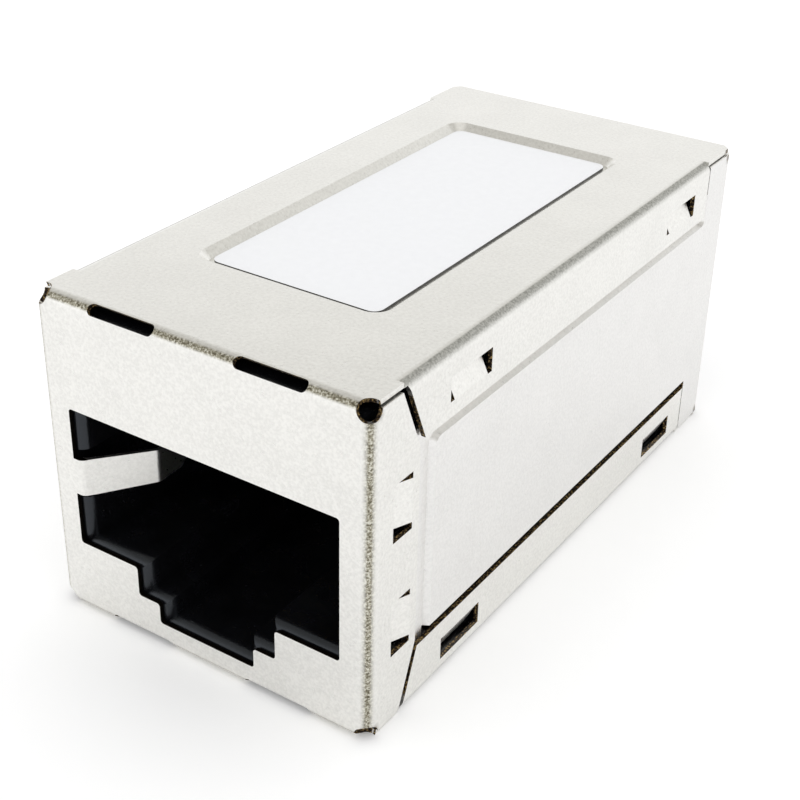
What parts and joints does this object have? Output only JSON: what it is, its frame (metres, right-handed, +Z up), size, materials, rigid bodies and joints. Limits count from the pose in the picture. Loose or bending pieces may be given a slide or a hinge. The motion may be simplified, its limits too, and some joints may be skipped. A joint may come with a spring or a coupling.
{
  "type": "rj45 inline coupler",
  "caption": "Shielded in-line coupler that joins two eight-way modular plugs end to end, in a folded sheet metal shell.",
  "frame": {"origin": "centre of the underside", "axes": "+X across the port, +Y along the plug axis from the front port to the rear port, +Z up, away from the latch channels"},
  "size_m": [0.016, 0.031, 0.015],
  "materials": {
    "nickel_sheet_front": "satin nickel plate",
    "nickel_sheet_rear": "satin nickel plate",
    "label_film": "matt film",
    "board_laminate": "solder mask",
    "moulded_housing": "satin",
    "contact_insert": "satin",
    "gold_plating": "bright"
  },
  "bodies": {
    "root": {"front_shell": "nickel_sheet_front", "rear_shell": "nickel_sheet_rear", "label": "label_film", "circuit_board": "board_laminate", "front_housing": "moulded_housing", "rear_housing": "moulded_housing", "front_contact_block": "contact_insert", "rear_contact_block": "contact_insert", "front_contact_1": "gold_plating", "front_contact_2": "gold_plating", "front_contact_3": "gold_plating", "front_contact_4": "gold_plating", "front_contact_5": "gold_plating", "front_contact_6": "gold_plating", "front_contact_7": "gold_plating", "front_contact_8": "gold_plating", "rear_contact_1": "gold_plating", "rear_contact_2": "gold_plating", "rear_contact_3": "gold_plating", "rear_contact_4": "gold_plating", "rear_contact_5": "gold_plating", "rear_contact_6": "gold_plating", "rear_contact_7": "gold_plating", "rear_contact_8": "gold_plating"}
  },
  "joints": []
}
